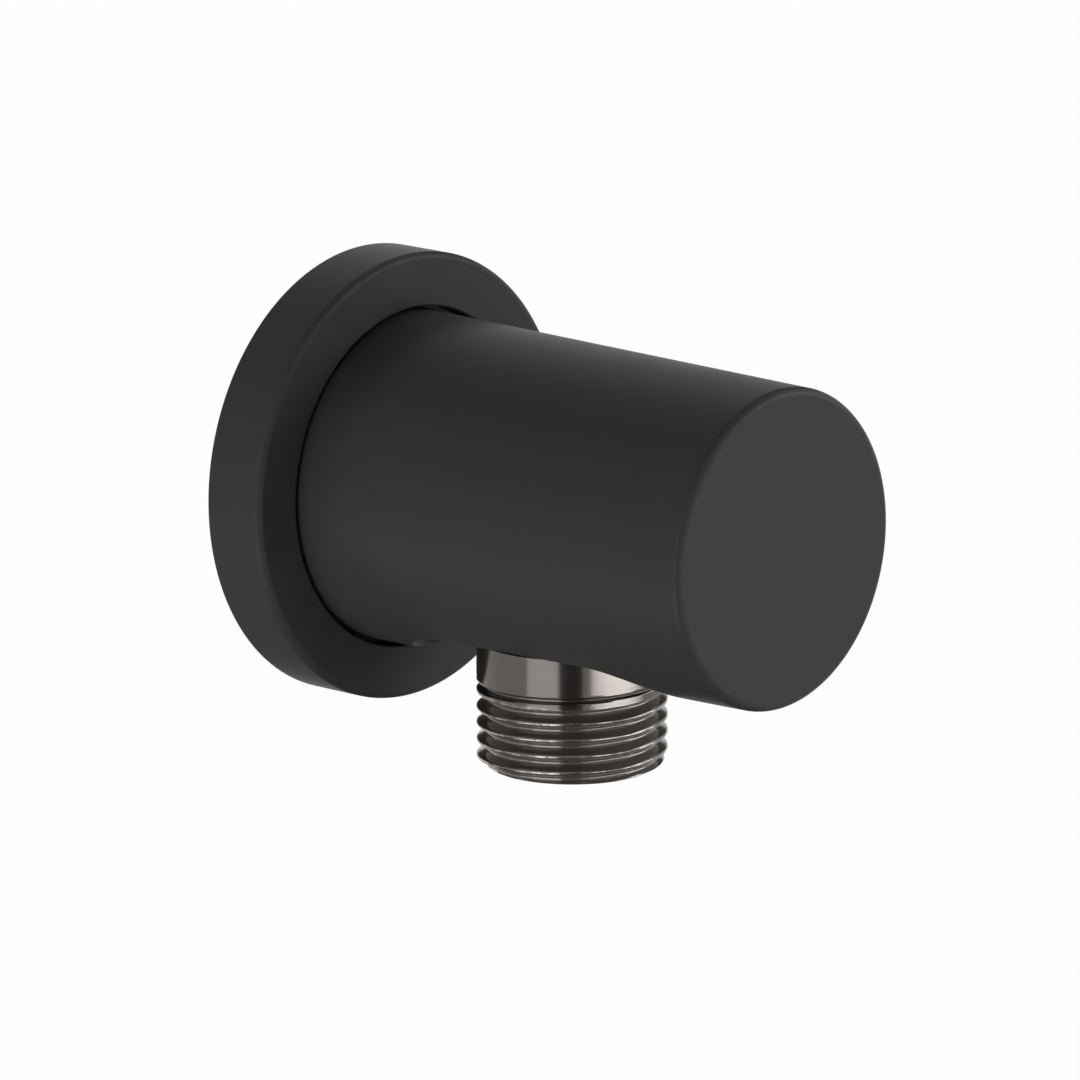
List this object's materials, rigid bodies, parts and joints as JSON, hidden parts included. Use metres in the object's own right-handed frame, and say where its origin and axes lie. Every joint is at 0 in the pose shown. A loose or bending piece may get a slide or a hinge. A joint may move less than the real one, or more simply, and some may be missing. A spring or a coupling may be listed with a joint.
{
  "type": "wall outlet elbow",
  "caption": "Shower wall elbow: a round rosette, a closed cylindrical body square off the wall, and a threaded hose nipple pointing down.",
  "frame": {"origin": "on the axis of the pipe thread, at the wall plane, which is the rosette's back", "axes": "+Y into the wall along the pipe thread, -Y out of the wall along the body, -Z down along the hose nipple"},
  "size_m": [0.05, 0.074, 0.0537],
  "materials": {
    "black_paint": "matte black powder coat",
    "dark_nickel": "dark polished nickel",
    "brass": "machined",
    "steel": "plain stainless",
    "rubber": "moulded",
    "foam": "closed-cell foam",
    "pale_plastic": "moulded acetal",
    "blue_plastic": "moulded acetal"
  },
  "bodies": {
    "elbow": {"rosette": "black_paint", "body": "black_paint", "outlet_nipple": "dark_nickel", "wall_nipple": "brass", "grub_screw": "steel", "check_spring": "steel", "rosette_gasket": "foam", "rosette_ring": "rubber", "spigot_ring_rear": "rubber", "spigot_ring_front": "rubber", "outlet_ring": "rubber", "cartridge_ring": "rubber", "check_housing": "pale_plastic", "check_seat": "pale_plastic", "strainer": "pale_plastic"},
    "poppet": {"check_poppet": "blue_plastic", "poppet_ring": "rubber"}
  },
  "joints": [
    {"name": "check_opening", "type": "slide", "parent": "elbow", "child": "poppet", "axis": [0, 0, -1], "range_m": [0, 0.0026], "stiffness_N_per_m": 300, "springref_m": -0.003, "deforming": ["check_spring"]}
  ]
}
